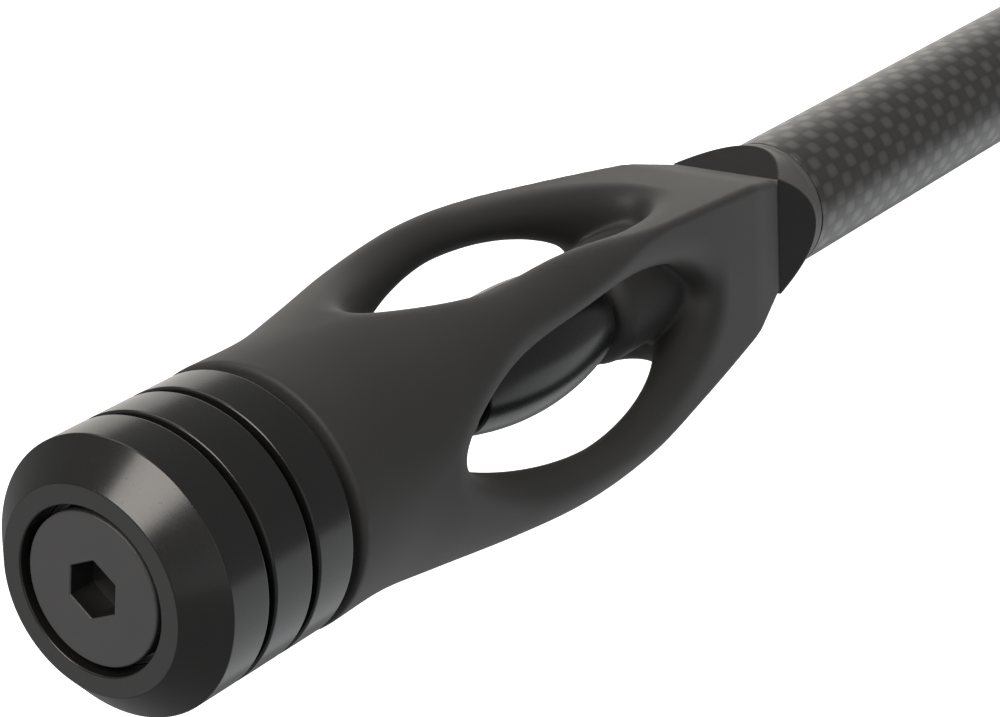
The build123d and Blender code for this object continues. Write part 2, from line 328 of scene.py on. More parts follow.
# %% Rubber
def soft_rubber(name, color, roughness, sheen=0.25, grain=0.00002):
    """Matt moulded rubber with sheen, a fine grain and dust specks in the bump."""
    material, tree, shader, coords = new_material(name)
    cloud = noise(tree, coords, 45, 4.0)
    fine = noise(tree, coords, 5200, 2.0)
    dust = noise(tree, coords, 900, 2.0)
    dark, light = [c * 0.88 for c in color], [c * 1.12 for c in color]
    base = blend_colors(tree, ramp(tree, cloud, 0.3, 0.7, 0, 1), dark, light)
    tree.links.new(base, shader.inputs["Base Color"])
    rough = ramp(tree, cloud, 0.3, 0.7, roughness * 0.93, roughness * 1.07)
    tree.links.new(rough, shader.inputs["Roughness"])
    shader.inputs["Sheen Weight"].default_value = sheen
    shader.inputs["Sheen Roughness"].default_value = 0.45
    shader.inputs["Sheen Tint"].default_value = (1.0, 0.95, 0.9, 1)
    shader.inputs["IOR"].default_value = 1.48
    specks = calc(tree, "MULTIPLY", ramp(tree, dust, 0.76, 0.82, 0, 1), 1.5)
    height = calc(tree, "ADD", calc(tree, "MULTIPLY", fine, 0.7), specks)
    bump(tree, shader, height, grain)
    return material


damper_rubber = soft_rubber("soft_touch_rubber", (0.041, 0.0405, 0.0405), 0.58, 0.12)
black_rubber = soft_rubber("plain_black_rubber", (0.010, 0.010, 0.010), 0.6, 0.1)
black_nylon = soft_rubber("plain_black_nylon", (0.006, 0.006, 0.006), 0.5, 0.0)
print("soft finishes:", [m.name for m in (damper_rubber, black_rubber, black_nylon)])

# %% [markdown]
# ### Carbon tube
#
# The tube shows plain weave: tows two millimetres wide, and a little longer than that, which pass over and
# under each other below a satin resin. Fibres that run along the tube and fibres that run round it throw
# light differently, so one set of patches looks grey where the other looks black. That difference is
# painted into the colour: the sign of sin(pi u) sin(pi v), on the tube's own UV map counted in tows, picks
# the set with a painted reflection, a lighter tone that fades towards each patch's edge. Each patch gets
# its own direction of streaks, its own tone and its own pillow in the bump.

# %% Carbon weave
def weave_material():
    """Plain-weave carbon: patches of tows, each with streaks along its own fibres, under a clear coat; one
    set of patches carries a painted reflection in its colour.
    """
    material, tree, shader, coords = new_material("plain_weave_carbon")
    uv = tree.nodes.new("ShaderNodeUVMap")
    uv.uv_map = "tows"
    split = tree.nodes.new("ShaderNodeSeparateXYZ")
    tree.links.new(uv.outputs["UV"], split.inputs[0])
    u, v = split.outputs["X"], split.outputs["Y"]
    waves = [calc(tree, "SINE", calc(tree, "MULTIPLY", axis, math.pi)) for axis in (u, v)]
    parity = ramp(tree, calc(tree, "MULTIPLY", *waves), -0.22, 0.22, 1, 0)
    along = noise(tree, mapped(tree, uv.outputs["UV"], (9.0, 0.35, 1)), 1.0, 3.0)
    across = noise(tree, mapped(tree, uv.outputs["UV"], (0.35, 9.0, 1)), 1.0, 3.0)
    streak = calc(tree, "ADD", calc(tree, "MULTIPLY", along, calc(tree, "SUBTRACT", 1.0, parity)),
                  calc(tree, "MULTIPLY", across, parity))
    hump_u = calc(tree, "SINE", calc(tree, "MULTIPLY", calc(tree, "FRACT", u), math.pi))
    hump_v = calc(tree, "SINE", calc(tree, "MULTIPLY", calc(tree, "FRACT", v), math.pi))
    hump = calc(tree, "POWER", calc(tree, "MULTIPLY", hump_u, hump_v), 0.35)
    shade = calc(tree, "ADD", calc(tree, "MULTIPLY", parity, 0.8), calc(tree, "MULTIPLY", streak, 0.5))
    shade = calc(tree, "MULTIPLY", shade, hump)
    # The light colour is a painted reflection on one set of patches, fading to the dark colour at each
    # patch's edge.
    dark, light = (0.032, 0.031, 0.030), (0.110, 0.103, 0.097)
    base = blend_colors(tree, ramp(tree, shade, 0.1, 1.1, 0, 1), dark, light)
    tree.links.new(base, shader.inputs["Base Color"])
    tree.links.new(ramp(tree, shade, 0.1, 1.1, 0.5, 0.36), shader.inputs["Roughness"])
    shader.inputs["Coat Weight"].default_value = 0.6
    shader.inputs["Coat Roughness"].default_value = 0.3
    shader.inputs["IOR"].default_value = 1.5
    height = calc(tree, "ADD", hump, calc(tree, "MULTIPLY", streak, 0.25))
    bump(tree, shader, height, 0.00003, 0.6)
    return material


carbon = weave_material()
print("carbon weave ready")

# %% [markdown]
# ## Shapes
#
# Almost every piece is turned on the rod's axis, so its surface is a stack of rings: ring i, point j. A
# profile is a short list of corners, each with the radius that rounds it, because a real machined rim is
# never perfectly sharp and it is the small rounded rim that catches the light.

# %% Rings to mesh
AROUND = 240


def span(node):
    """Return (rear x, front x, largest radius) of a CAD node in metres."""
    low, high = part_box(node)
    return low.x, high.x, max(high.y, high.z, -low.y, -low.z)


def outward(points, faces):
    """Faces turned to point outwards: the volume is the sum over fan triangles of a . (b x c) / 6, and when
    it comes out negative every face is inside out."""
    fans = [(face[0], face[k], face[k + 1]) for face in faces for k in range(1, len(face) - 1)]
    a, b, c = points[np.array(fans)].transpose(1, 0, 2)
    volume = (a * np.cross(b, c)).sum() / 6
    return [face[::-1] for face in faces] if volume < 0 else faces


def finish_piece(name, points, faces, material, body, node):
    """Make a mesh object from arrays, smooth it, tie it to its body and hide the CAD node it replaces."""
    mesh = bpy.data.meshes.new(name)
    mesh.from_pydata(points.tolist(), [], outward(points, faces))
    mesh.update()
    mesh.polygons.foreach_set("use_smooth", np.ones(len(mesh.polygons), bool))
    mesh.materials.append(material)
    piece = link(bpy.data.objects.new(name, mesh))
    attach(piece, body)
    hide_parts(node)
    return piece


def ring_faces(rows, around, closed):
    """Quads between neighbouring rings; closed joins the last ring to the first."""
    i, j = np.meshgrid(np.arange(rows if closed else rows - 1), np.arange(around), indexing="ij")
    a = i * around + j
    b = i * around + (j + 1) % around
    step = (i + 1) % rows * around
    c = step + (j + 1) % around
    d = step + j
    return np.stack([a, b, c, d], -1).reshape(-1, 4).tolist()


def skin(x, radius):
    """Points and faces of a surface of rings: point (i, j) is at (x_i, r_ij cos a_j, r_ij sin a_j), where
    a_j is j steps round. A ring of zero radius becomes a pole. Without poles the stack closes on itself."""
    rows, around = radius.shape
    angle = np.arange(around) * 2 * np.pi / around
    grid = np.stack([np.repeat(x[:, None], around, 1), radius * np.cos(angle), radius * np.sin(angle)], -1)
    if radius[0].max() > 0:
        return grid.reshape(-1, 3), ring_faces(rows, around, True)
    inner = grid[1:-1]
    points = np.vstack([inner.reshape(-1, 3), grid[0, :1], grid[-1, :1]])
    faces = ring_faces(rows - 2, around, False)
    first, last, start = len(points) - 2, len(points) - 1, (rows - 3) * around
    j = np.arange(around)
    k = (j + 1) % around
    faces += np.stack([np.full(around, first), k, j], -1).tolist()
    faces += np.stack([np.full(around, last), start + j, start + k], -1).tolist()
    return points, faces


def eased(corners, steps=6):
    """Turn (x, r, round) corners into a profile. Each corner becomes an arc of that radius with a short
    straight lead at both ends, so that flat faces keep flat shading. Corners on the axis have round 0."""
    out = []
    count = len(corners)
    on_axis = corners[0][1] == 0
    for n, (x, r, ease) in enumerate(corners):
        here = np.array([x, r])
        ends = on_axis and n in (0, count - 1)
        if ease == 0 or ends:
            out.append(here)
            continue
        back = np.array(corners[n - 1][:2]) - here
        ahead = np.array(corners[(n + 1) % count][:2]) - here
        back_len, ahead_len = np.linalg.norm(back), np.linalg.norm(ahead)
        back, ahead = back / back_len, ahead / ahead_len
        half = np.arccos(np.clip(back @ ahead, -1, 1)) / 2
        reach = min(ease / np.tan(half), 0.45 * back_len, 0.45 * ahead_len)
        radius = reach * np.tan(half)
        middle = here + (back + ahead) / np.linalg.norm(back + ahead) * radius / np.sin(half)
        start, end = here + back * reach - middle, here + ahead * reach - middle
        turn = np.arctan2(start[0] * end[1] - start[1] * end[0], start @ end)
        lead = 0.08 * reach
        out.append(here + back * (reach + lead))
        for t in np.linspace(0, turn, steps):
            c, s = np.cos(t), np.sin(t)
            out.append(middle + np.array([c * start[0] - s * start[1], s * start[0] + c * start[1]]))
        out.append(here + ahead * (reach + lead))
    return np.array(out)


def turned_piece(name, corners, material, body, node):
    """A piece turned from eased corners, all in metres."""
    profile = eased(corners)
    radius = np.repeat(profile[:, 1:], AROUND, 1)
    points, faces = skin(profile[:, 0], radius)
    return finish_piece(name, points, faces, material, body, node)


def turned_ring(name, node, inner, ease, material, body):
    """A ring that fills its CAD node's length and radius, bored to inner."""
    rear, front, outer = span(node)
    corners = [(front, inner, 0), (front, outer, ease), (rear, outer, ease), (rear, inner, 0)]
    return turned_piece(name, corners, material, body, node)


print("ring tools ready,", AROUND, "points round")

# %% [markdown]
# ## End weights
#
# The nose weight has a broad 45 degree chamfer and a counterbore for the bolt's head. Behind it sit two
# plain discs. Narrow black washers keep them a millimetre apart, which reads as two fine grooves.

# %% Weights and washers
BOLT_HOLE = 4.15 * MM
RIM_EASE = 0.32 * MM
nose_rear, nose_front, weight_radius = span("nose_weight")
NOSE_CHAMFER = 4.0 * MM
COUNTERBORE_RADIUS = 9.55 * MM
COUNTERBORE_DEPTH = 3.55 * MM

turned_piece("nose_weight_turned", [
    (nose_front - COUNTERBORE_DEPTH, BOLT_HOLE, 0),
    (nose_front - COUNTERBORE_DEPTH, COUNTERBORE_RADIUS, 0.1 * MM),
    (nose_front, COUNTERBORE_RADIUS, 0.22 * MM),
    (nose_front, weight_radius - NOSE_CHAMFER, 0.3 * MM),
    (nose_front - NOSE_CHAMFER, weight_radius, 0.3 * MM),
    (nose_rear, weight_radius, RIM_EASE),
    (nose_rear, BOLT_HOLE, 0),
], anodised, "head", "nose_weight")

for disc in ("weight_disc_front", "weight_disc_rear"):
    turned_ring(disc + "_turned", disc, BOLT_HOLE, RIM_EASE, anodised, "head")
for washer in ("spacer_washer_front", "spacer_washer_rear"):
    turned_ring(washer + "_turned", washer, BOLT_HOLE, 0.1 * MM, black_nylon, "head")
print("weights", round(weight_radius * 2000, 2), "mm across")

# %% [markdown]
# ## Weight bolt
#
# A wide flat head fills the counterbore. Its hex socket is a stack of rings whose radius follows a
# hexagon: the radius at an angle is half the width across flats over the cosine of the angle from the
# nearest flat. The mesh marks the socket's inside with an attribute, which the finish reads to paint
# shade into it: the inside is coloured near black.

# %% Bolt with a hex socket
HEX_FLATS = 6.0 * MM
HEX_TURN = math.radians(21)
SOCKET_DEPTH = 3.6 * MM
HEAD_THICK = 2.6 * MM
SHANK_RADIUS = 3.95 * MM


def hexagon(flats):
    """Radius of a hexagon of that width across flats at each angle of a ring."""
    angle = np.arange(AROUND) * 2 * np.pi / AROUND - HEX_TURN
    from_flat = (angle % (np.pi / 3)) - np.pi / 6
    return flats / 2 / np.cos(from_flat)


def ringed(pairs):
    """Split (x, radius or array) pairs into arrays for skin."""
    x = np.array([pair[0] for pair in pairs])
    radius = np.stack([np.broadcast_to(pair[1], (AROUND,)) for pair in pairs])
    return x, radius.astype(float)


bolt_end, head_front, head_radius = span("weight_bolt")
EDGE_BREAK = 0.12 * MM
socket = [(head_front - SOCKET_DEPTH - 0.5 * MM, 0.0)]
socket += [(head_front - SOCKET_DEPTH, hexagon(HEX_FLATS - 0.1 * MM))]
socket += [(head_front - SOCKET_DEPTH + 0.05 * MM, hexagon(HEX_FLATS))]
socket += [(head_front - 0.2 * MM, hexagon(HEX_FLATS))]
lip = [(head_front - EDGE_BREAK, hexagon(HEX_FLATS)), (head_front, hexagon(HEX_FLATS + 2 * EDGE_BREAK))]
lip += [(head_front, hexagon(HEX_FLATS + 3 * EDGE_BREAK))]
rim = eased([
    (head_front, 0.0, 0),
    (head_front, head_radius, 0.25 * MM),
    (head_front - HEAD_THICK, head_radius, 0.15 * MM),
    (head_front - HEAD_THICK, SHANK_RADIUS, 0.1 * MM),
    (bolt_end + 0.7 * MM, SHANK_RADIUS, 0),
    (bolt_end, SHANK_RADIUS - 0.7 * MM, 0),
    (bolt_end, 0.0, 0),
])[1:]
bolt_points, bolt_faces = skin(*ringed(socket + lip + [tuple(row) for row in rim]))
bolt = finish_piece("weight_bolt_turned", bolt_points, bolt_faces, bolt_black, "bolt", "weight_bolt")
# The socket's inside is marked for the painted shade.
socket_shade_mask = np.zeros(len(bolt_points), np.float32)
socket_shade_mask[:(len(socket) - 1) * AROUND] = 1
socket_shade_mask[-2] = 1
bolt.data.attributes.new("socket", "FLOAT", "POINT").data.foreach_set("value", socket_shade_mask)
turned_ring("bolt_washer_turned", "bolt_washer", 4.0 * MM, 0.1 * MM, zinc, "bolt_carrier")
print("hex socket", round(HEX_FLATS * 1000, 1), "mm across flats")

# %% [markdown]
# ## The rubber lantern
#
# The damper is one moulding: a round ring that swells into a squarish body with an oval window in each
# face, so that only a rounded arm is left at each corner, and a plain square foot. Modelling such a blend
# by hand is slow, and a lathe can't make it. Instead we describe the solid as a distance field, which is
# negative inside the rubber, and draw the surface where the field is zero. Two fields join softly with a
# smooth maximum, which leaves a moulded radius wherever a window breaks through the skin.

# %% The lantern as a field
CAGE_MM = [v * 1000 for v in span("damper_cage")[:2]]
BARREL_MM = [v * 1000 for v in span("barrel_mass")[:2]]
NOSE_MM = nose_front * 1000
# distance back from the nose face, half the width across the faces, radius of the corners
SECTIONS = np.array([
    (25.0, 16.0, 15.9),
    (38.0, 16.0, 15.8),
    (46.0, 16.0, 13.0),
    (58.0, 15.1, 5.2),
    (72.0, 16.1, 5.8),
    (86.0, 14.4, 1.4),
    (100.0, 12.75, 1.0),
    (118.0, 10.4, 1.0),
    (136.0, 7.75, 0.8),
])
FOOT_START, FOOT_HALF, FOOT_END_HALF = 118.0, 10.4, 8.0
FOOT_SLOPE = (FOOT_HALF - FOOT_END_HALF) / 9.0
WINDOW_MIDDLE, WINDOW_LONG, WINDOW_WIDE = 75.6, 28.8, 9.5
POWER_FRONT, POWER_REAR = 1.7, 1.9
WINDOW_EASE, ARM_EASE = 3.9, 4.1
BOSS_FRONT_RADIUS, BOSS_REAR_RADIUS, BOSS_ROUND = 6.85, 7.5, 2.0
CUSHION_GAP = 1.5
FOOT_CORNER, FOOT_EASE, MOULD_EASE, BOSS_FILLET = 1.1, 0.25, 0.7, 1.2


def smooth_curve(t, stations, values):
    """Cubic through the stations: on each span a Hermite curve whose end slopes are the mean slopes of the
    spans on either side."""
    slopes = np.gradient(values, stations)
    n = np.clip(np.searchsorted(stations, t) - 1, 0, len(stations) - 2)
    width = stations[n + 1] - stations[n]
    s = np.clip((t - stations[n]) / width, 0, 1)
    start = (1 + 2 * s) * (1 - s) ** 2 * values[n] + s * (1 - s) ** 2 * width * slopes[n]
    end = s * s * (3 - 2 * s) * values[n + 1] + s * s * (s - 1) * width * slopes[n + 1]
    return start + end


def soft_max(a, b, ease):
    """Maximum of two fields with the crease between them rounded over a distance ease."""
    gap = np.maximum(ease - np.abs(a - b), 0) / ease
    return np.maximum(a, b) + gap * gap * ease / 4


def soft_min(a, b, ease):
    """Minimum of two fields, rounded the same way: a fillet."""
    return -soft_max(-a, -b, ease)


def rounded_square(y, z, half, corner):
    """Distance to a square of half-width half whose corners have radius corner."""
    over_y, over_z = np.abs(y) - (half - corner), np.abs(z) - (half - corner)
    outside = np.hypot(np.maximum(over_y, 0), np.maximum(over_z, 0))
    return outside + np.minimum(np.maximum(over_y, over_z), 0) - corner


def oval(t, across):
    """Distance to the window's oval: (k - 1) divided by the gradient of k, where k is the p-norm
    (a ** p + b ** p) ** (1 / p) of the scaled point. Where p is under 2 the end is a little pointed."""
    p = np.where(t < WINDOW_MIDDLE, POWER_FRONT, POWER_REAR)
    a, b = np.abs(t - WINDOW_MIDDLE) / WINDOW_LONG, np.abs(across) / WINDOW_WIDE
    k = (a ** p + b ** p + 1e-9) ** (1 / p)
    return (k - 1) / (np.hypot((a / k) ** (p - 1) / WINDOW_LONG, (b / k) ** (p - 1) / WINDOW_WIDE) + 1e-6)


def domed_rod(r, past_end, radius):
    """Distance to a round boss whose free rim is rounded; past_end is how far a point lies past its end."""
    over_r, over_end = r - (radius - BOSS_ROUND), past_end + BOSS_ROUND
    outside = np.hypot(np.maximum(over_r, 0), np.maximum(over_end, 0))
    return outside + np.minimum(np.maximum(over_r, over_end), 0) - BOSS_ROUND


def cylinder(t, r, start, end, radius):
    """Distance to a plain cylinder between two stations."""
    return np.maximum(r - radius, np.maximum(start - t, t - end))


def lantern(x, y, z):
    """The rubber as a field in millimetres: swelling body cut by the foot's taper and four windows, with
    the two bosses added and the metal inserts' pockets taken out."""
    t = NOSE_MM - x
    r = np.hypot(y, z)
    half = smooth_curve(t, SECTIONS[:, 0], SECTIONS[:, 1])
    corner = smooth_curve(t, SECTIONS[:, 0], SECTIONS[:, 2])
    body = rounded_square(y, z, half, corner)
    foot = rounded_square(y, z, FOOT_HALF - (t - FOOT_START) * FOOT_SLOPE, FOOT_CORNER)
    body = soft_max(body, foot, FOOT_EASE)
    ends = np.maximum(x - CAGE_MM[1], CAGE_MM[0] - x)
    body = soft_max(body, ends, MOULD_EASE)
    outside_windows = soft_max(-oval(t, y), -oval(t, z), ARM_EASE)
    body = soft_max(body, outside_windows, WINDOW_EASE)
    front_gap = NOSE_MM - BARREL_MM[1] - CUSHION_GAP
    rear_gap = NOSE_MM - BARREL_MM[0] + CUSHION_GAP
    front_boss = domed_rod(r, t - front_gap, BOSS_FRONT_RADIUS)
    rear_boss = domed_rod(r, rear_gap - t, BOSS_REAR_RADIUS)
    bosses = np.where(t < WINDOW_MIDDLE, np.maximum(front_boss, 39.0 - t), np.maximum(rear_boss, t - 107.0))
    body = soft_min(body, bosses, BOSS_FILLET)
    pockets = cylinder(t, r, 20.0, 43.1, 8.05)
    pockets = np.minimum(pockets, cylinder(t, r, 30.9, 34.1, 11.05))
    pockets = np.minimum(pockets, cylinder(t, r, 107.9, 130.0, 5.85))
    pockets = np.minimum(pockets, cylinder(t, r, 110.4, 113.6, 7.05))
    pockets = np.minimum(pockets, cylinder(t, r, 53.9, 99.1, 2.56))
    return np.maximum(body, -pockets)


print("middle of an arm is inside:", bool(lantern(np.array(180.0), np.array(12.5), np.array(12.5)) < 0))

# %% [markdown]
# ### Surface nets
#
# To mesh the field we sample it on a fine grid. Every small cube whose corners differ in sign gets one
# vertex at the mean of its edge crossings, and every grid edge that changes sign gets one quad between the
# four cubes around it. Then each vertex slides along the field's slope on to the exact surface. The slope
# also gives perfect normals, which are stored on the mesh so that both halves of the damper shade as one.

# %% Surface nets
GRID = 0.5


def field_slope(field, points, step=0.02):
    """Gradient of the field at points, by central differences."""
    slope = np.empty_like(points)
    for axis in range(3):
        shift = np.zeros(3)
        shift[axis] = step
        ahead, behind = points + shift, points - shift
        slope[:, axis] = (field(*ahead.T) - field(*behind.T)) / (2 * step)
    return slope


def surface_nets(field, low, high, grid):
    """Quads on the zero surface of a field, between two corners of a box, all in millimetres."""
    axes = [np.arange(low[k], high[k] + grid, grid) for k in range(3)]
    values = field(*np.meshgrid(*axes, indexing="ij"))
    inside = values < 0
    shape = np.array(values.shape) - 1
    total = np.zeros((*shape, 3))
    count = np.zeros(shape)
    corners = [np.array([i, j, k]) for i in (0, 1) for j in (0, 1) for k in (0, 1)]
    for a in corners:
        for axis in range(3):
            if a[axis]:
                continue
            b = a.copy()
            b[axis] = 1
            cut_a = tuple(slice(a[k], a[k] + shape[k]) for k in range(3))
            cut_b = tuple(slice(b[k], b[k] + shape[k]) for k in range(3))
            va, vb = values[cut_a], values[cut_b]
            crossed = inside[cut_a] != inside[cut_b]
            share = np.where(crossed, va / np.where(crossed, va - vb, 1), 0)
            for k in range(3):
                total[..., k] += np.where(crossed, a[k] + (share if k == axis else 0), 0)
            count += crossed
    used = count > 0
    number = np.full(shape, -1)
    number[used] = np.arange(used.sum())
    base = np.stack(np.nonzero(used), -1)
    points = (base + total[used] / count[used][:, None]) * grid + np.array([axis[0] for axis in axes])
    faces = []
    for axis in range(3):
        one, two = (axis + 1) % 3, (axis + 2) % 3
        lo_cut = [slice(1, -1)] * 3
        lo_cut[axis] = slice(0, -1)
        hi_cut = list(lo_cut)
        hi_cut[axis] = slice(1, None)
        here, there = inside[tuple(lo_cut)], inside[tuple(hi_cut)]
        start = np.stack(np.nonzero(here != there), -1)
        outward = here[tuple(start.T)]
        start[:, one] += 1
        start[:, two] += 1
        cells = []
        for d_one, d_two in ((-1, -1), (0, -1), (0, 0), (-1, 0)):
            cell = start.copy()
            cell[:, one] += d_one
            cell[:, two] += d_two
            cells.append(number[tuple(cell.T)])
        quads = np.stack(cells, -1)
        quads[~outward] = quads[~outward][:, ::-1]
        faces.append(quads)
    for _ in range(4):
        slope = field_slope(field, points)
        size = (slope ** 2).sum(1, keepdims=True)
        step = field(*points.T)[:, None] * slope / np.maximum(size, 0.2)
        points = points - np.clip(step, -0.3 * grid, 0.3 * grid)
    return points, np.vstack(faces)


cage_low = np.array([CAGE_MM[0] - 1.03, -17.02, -17.02])
cage_high = np.array([CAGE_MM[1] + 1.0, 17.0, 17.0])
cage_points, cage_quads = surface_nets(lantern, cage_low, cage_high, GRID)
print("lantern:", len(cage_points), "points,", len(cage_quads), "quads")

# %% [markdown]
# ### Two halves
#
# The weights can swing up and down at the lantern's rear neck and from side to side at its front neck.
# The surface is cut at mid-length into a front half and a rear half.

# %% Cut and cap the lantern
import bmesh


def half_of_lantern(name, keep_front, cut_x):
    """Bisect the lantern at cut_x, close the cut with flat caps, and store the field's normals."""
    mesh = bpy.data.meshes.new(name)
    mesh.from_pydata((cage_points * MM).tolist(), [], cage_quads.tolist())
    bm = bmesh.new()
    bm.from_mesh(mesh)
    everything = bm.verts[:] + bm.edges[:] + bm.faces[:]
    bmesh.ops.bisect_plane(bm, geom=everything, plane_co=(cut_x * MM, 0, 0), plane_no=(1, 0, 0),
                           clear_inner=keep_front, clear_outer=not keep_front, dist=1e-7)
    rim = [edge for edge in bm.edges if edge.is_boundary]
    caps = bmesh.ops.holes_fill(bm, edges=rim, sides=0)["faces"]
    bmesh.ops.split_edges(bm, edges=list({edge for face in caps for edge in face.edges}))
    for face in bm.faces:
        face.smooth = True
    bmesh.ops.recalc_face_normals(bm, faces=bm.faces[:])
    bm.to_mesh(mesh)
    bm.free()
    place = np.empty(len(mesh.vertices) * 3)
    mesh.vertices.foreach_get("co", place)
    place = place.reshape(-1, 3)
    normals = field_slope(lantern, place / MM)
    normals /= np.linalg.norm(normals, axis=1, keepdims=True)
    flat = [v for face in mesh.polygons if len(face.vertices) > 6 for v in face.vertices]
    normals[flat] = (-1 if keep_front else 1, 0, 0)
    mesh.normals_split_custom_set_from_vertices(normals.tolist())
    mesh.materials.append(damper_rubber)
    return link(bpy.data.objects.new(name, mesh))


middle_x = sum(BARREL_MM) / 2
front_half = half_of_lantern("damper_cage_front_half", True, middle_x)
rear_half = half_of_lantern("damper_cage_rear_half", False, middle_x)
print("halves:", len(front_half.data.polygons), len(rear_half.data.polygons), "faces")


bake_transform(front_half)
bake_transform(rear_half)
for half in (front_half, rear_half):
    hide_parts("damper_cage")

# %% [markdown]
# ## Inside the lantern
#
# A smooth black barrel of metal rides between the two bosses on a steel pin, with a rubber ring at each
# end. Its side is a plain arc, so the profile is the chord plus a parabola's bulge.

# %% Barrel, rings and pin
PIN_RADIUS = 2.5 * MM
BARREL_END = 6.25 * MM
barrel_rear, barrel_front, barrel_radius = span("barrel_mass")
along = np.linspace(1, -1, 41)
side_x = (barrel_front + barrel_rear) / 2 + along * (barrel_front - barrel_rear) / 2
side_r = BARREL_END + (barrel_radius - BARREL_END) * (1 - along ** 2)
barrel_rim = 0.35 * MM
belly = [(x, r, 0) for x, r in zip(side_x[1:-1], side_r[1:-1])]
turned_piece("barrel_mass_turned", [
    (barrel_front, PIN_RADIUS, 0),
    (barrel_front, BARREL_END, barrel_rim),
    *belly,
    (barrel_rear, BARREL_END, barrel_rim),
    (barrel_rear, PIN_RADIUS, 0),
], barrel_black, "core", "barrel_mass")
for ring in ("cushion_ring_front", "cushion_ring_rear"):
    turned_ring(ring + "_turned", ring, PIN_RADIUS, 0.35 * MM, black_rubber, "core")
print("barrel", round(barrel_radius * 2000, 1), "mm across")

# %% [markdown]
# ## Ferrule
#
# The aluminium ferrule starts square against the rubber's foot and ends round against the tube. It is a
# full, rounded flare with four slanting flats: at each angle the radius is the smaller of the flare's and
# the flat's, and a flat's radius grows as one over the cosine of the angle from its middle. The mesh marks
# the flats with an attribute, and the finish paints shade on them: near black, much darker than the band.

# %% Ferrule with four flats
ferrule_tail, ferrule_face, _ = span("damper_ferrule")
TUBE_RADIUS = span("carbon_tube")[2]
FLARE = 11.4 * MM
FLARE_LONG = 8.6 * MM
BAND_END = 9.8 * MM
FLAT_START = 8.0 * MM
FLAT_LONG = 5.7 * MM
FLARE_CURVE = 0.85
BORE = 3.0 * MM

angle = np.arange(AROUND) * 2 * np.pi / AROUND
off_flat = (angle + np.pi / 4) % (np.pi / 2) - np.pi / 4
band_edge = [BAND_END - 0.1 * MM, BAND_END - 0.03 * MM]
back = np.concatenate([np.linspace(0, FLARE_LONG + 0.4 * MM, 60), band_edge])
cone = TUBE_RADIUS + (FLARE - TUBE_RADIUS) * np.clip(1 - back / FLARE_LONG, 0, 1) ** FLARE_CURVE
cone[-1] -= 0.08 * MM
flat = FLAT_START + (TUBE_RADIUS + 0.1 * MM - FLAT_START) * back / FLAT_LONG
flats = flat[:, None] / np.cos(off_flat)[None, :]
outer = -soft_max(-cone[:, None], -flats, 0.12 * MM)
on_flat = np.clip((cone[:, None] - flats) / (0.1 * MM) + 0.5, 0, 1)
rows = [(ferrule_face, BORE), (ferrule_face, outer[0] - 0.12 * MM)]
rows += [(ferrule_face - 0.06 * MM - b, ring) for b, ring in zip(back, outer)]
SLEEVE_RADIUS = TUBE_RADIUS - 1.05 * MM
rows += [(ferrule_face - BAND_END, TUBE_RADIUS - 0.2 * MM), (ferrule_face - BAND_END, SLEEVE_RADIUS)]
rows += [(ferrule_tail, SLEEVE_RADIUS), (ferrule_tail, BORE)]
ferrule_points, ferrule_faces = skin(*ringed(rows))
ferrule = finish_piece("damper_ferrule_milled", ferrule_points, ferrule_faces, milled_grey, "rod",
                       "damper_ferrule")
# The flats are marked for the painted shade.
milled = np.zeros(len(ferrule_points), np.float32)
milled[2 * AROUND:(2 + len(outer)) * AROUND] = on_flat.ravel()
ferrule.data.attributes.new("milled", "FLOAT", "POINT").data.foreach_set("value", milled)
for ring in ("tube_end_ring", "bow_end_ring"):
    turned_ring(ring + "_turned", ring, SLEEVE_RADIUS, 0.05 * MM, black_rubber, "rod")
print("ferrule flats", round(FLAT_START * 2000, 1), "mm apart at the rubber")

# %% [markdown]
# ## Carbon tube
#
# The tube is a plain ring of surface, but its weave needs a map that follows it. The map counts tows: an
# even number of them goes round, so the pattern closes on itself, and along the tube each one is a little
# longer.

# %% Tube with a tow map
TOWS_ROUND = 28
TOW_LONG = 2.57 * MM
TUBE_WALL = 1.0 * MM
tube_rear, tube_front, tube_radius = span("carbon_tube")
tube = turned_piece("carbon_tube_wound", [
    (tube_front, tube_radius - TUBE_WALL, 0),
    (tube_front, tube_radius, 0.12 * MM),
    (tube_rear, tube_radius, 0.12 * MM),
    (tube_rear, tube_radius - TUBE_WALL, 0),
], carbon, "rod", "carbon_tube")


def tow_map(piece):
    """Write a UV map in tows: u = turns times tows round, v = x over the tow's length. A face that crosses
    the seam has one turn added to its small angles, so that no face folds back. Return the tow's width."""
    mesh = piece.data
    place = np.empty(len(mesh.vertices) * 3)
    mesh.vertices.foreach_get("co", place)
    place = place.reshape(-1, 3)
    corner_of = np.empty(len(mesh.loops), int)
    mesh.loops.foreach_get("vertex_index", corner_of)
    turn = (np.arctan2(place[:, 2], place[:, 1]) / (2 * np.pi)) % 1.0
    u = turn[corner_of].reshape(-1, 4)
    u = np.where((u.max(1, keepdims=True) - u) > 0.5, u + 1, u).reshape(-1) * TOWS_ROUND
    v = place[corner_of, 0] / TOW_LONG
    layer = mesh.uv_layers.new(name="tows")
    layer.data.foreach_set("uv", np.stack([u, v], -1).astype(np.float32).ravel())
    return 2 * np.pi * tube_radius / TOWS_ROUND


print("tow width", round(tow_map(tube) * 1000, 2), "mm, length", round(TOW_LONG * 1000, 2), "mm")

# %% [markdown]
# ## Bow end
#
# The far end is a short aluminium ferrule with ten finger grooves, a washer and a threaded stud. The
# grooves are cuts by small circles outside the rim, and the thread is one more ring surface whose radius
# follows a sawtooth of x / pitch minus angle / one turn, which is exactly what a helix is.

